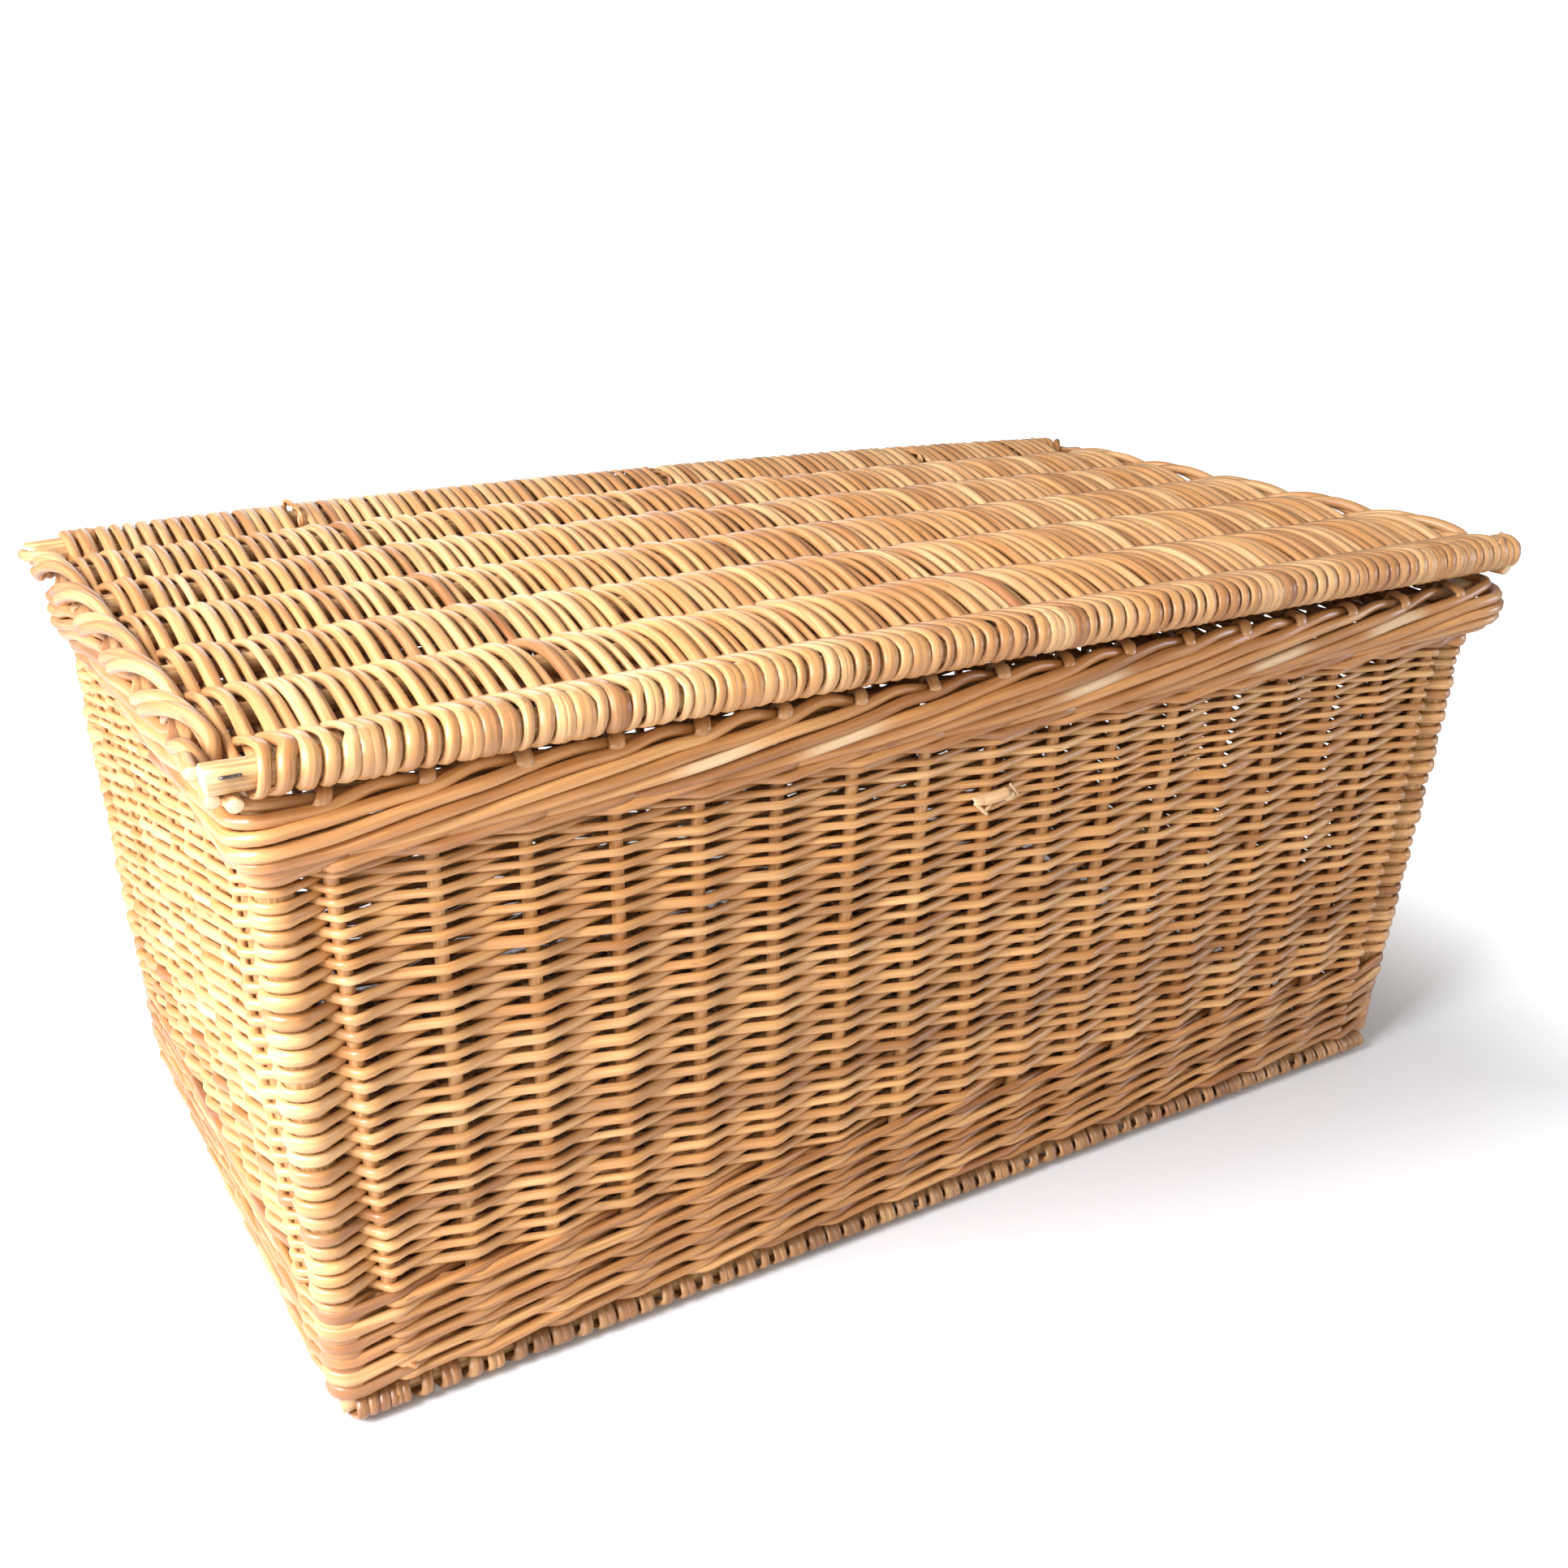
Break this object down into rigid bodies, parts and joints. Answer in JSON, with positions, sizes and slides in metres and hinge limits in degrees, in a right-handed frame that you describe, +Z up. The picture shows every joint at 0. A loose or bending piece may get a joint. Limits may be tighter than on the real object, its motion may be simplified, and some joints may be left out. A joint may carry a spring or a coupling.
{
  "type": "laundry hamper with lid",
  "caption": "Long rectangular laundry hamper of woven willow with flared sides, a rolled border and a flat woven lid on willow loop hinges.",
  "frame": {"origin": "bottom centre of the hamper with its lid closed, on the floor it stands on", "axes": "+X along the length to the right seen from the front, +Y to the hinged back, +Z up"},
  "size_m": [0.93, 0.528, 0.418],
  "materials": {
    "woven_willow": "buff willow rods, clear varnish, satin gloss",
    "border_willow": "thick buff willow rods, clear varnish, satin gloss",
    "hinge_willow": "twisted buff willow rod, clear varnish",
    "mat_stick": "peeled willow stick, clear varnish",
    "corner_post": "thick peeled willow stick, clear varnish",
    "stake": "buff willow rod, clear varnish",
    "steel_nail": "dull steel, tarnished"
  },
  "bodies": {
    "basket": {"base_back_stick": "mat_stick", "base_end_twist_left": "woven_willow", "base_end_twist_right": "woven_willow", "base_front_stick": "mat_stick", "base_stick_1": "mat_stick", "base_stick_2": "mat_stick", "base_stick_3": "mat_stick", "base_stick_4": "mat_stick", "base_stick_5": "mat_stick", "base_weave": "woven_willow", "border_back": "border_willow", "border_front": "border_willow", "border_left": "border_willow", "border_right": "border_willow", "corner_post_back_left": "corner_post", "corner_post_back_right": "corner_post", "corner_post_front_left": "corner_post", "corner_post_front_right": "corner_post", "hinge_loop_left": "hinge_willow", "hinge_loop_middle": "hinge_willow", "hinge_loop_right": "hinge_willow", "rand_back": "woven_willow", "rand_front": "woven_willow", "rand_left": "woven_willow", "rand_right": "woven_willow", "stakes_back": "stake", "stakes_front": "stake", "stakes_left": "stake", "stakes_right": "stake", "top_wale_back": "border_willow", "top_wale_front": "border_willow", "top_wale_left": "border_willow", "top_wale_right": "border_willow", "upsett_back": "woven_willow", "upsett_front": "woven_willow", "upsett_left": "woven_willow", "upsett_right": "woven_willow"},
    "lid": {"lid_back_stick": "mat_stick", "lid_end_twist_left": "woven_willow", "lid_end_twist_right": "woven_willow", "lid_front_stick": "mat_stick", "lid_nails": "steel_nail", "lid_stick_1": "mat_stick", "lid_stick_2": "mat_stick", "lid_stick_3": "mat_stick", "lid_stick_4": "mat_stick", "lid_stick_5": "mat_stick", "lid_weave": "woven_willow"}
  },
  "joints": [
    {"name": "lid_hinge", "type": "hinge", "parent": "basket", "child": "lid", "pos_m": [0, 0.251, 0.405], "axis": [-1, 0, 0], "range_deg": [0, 110]}
  ]
}
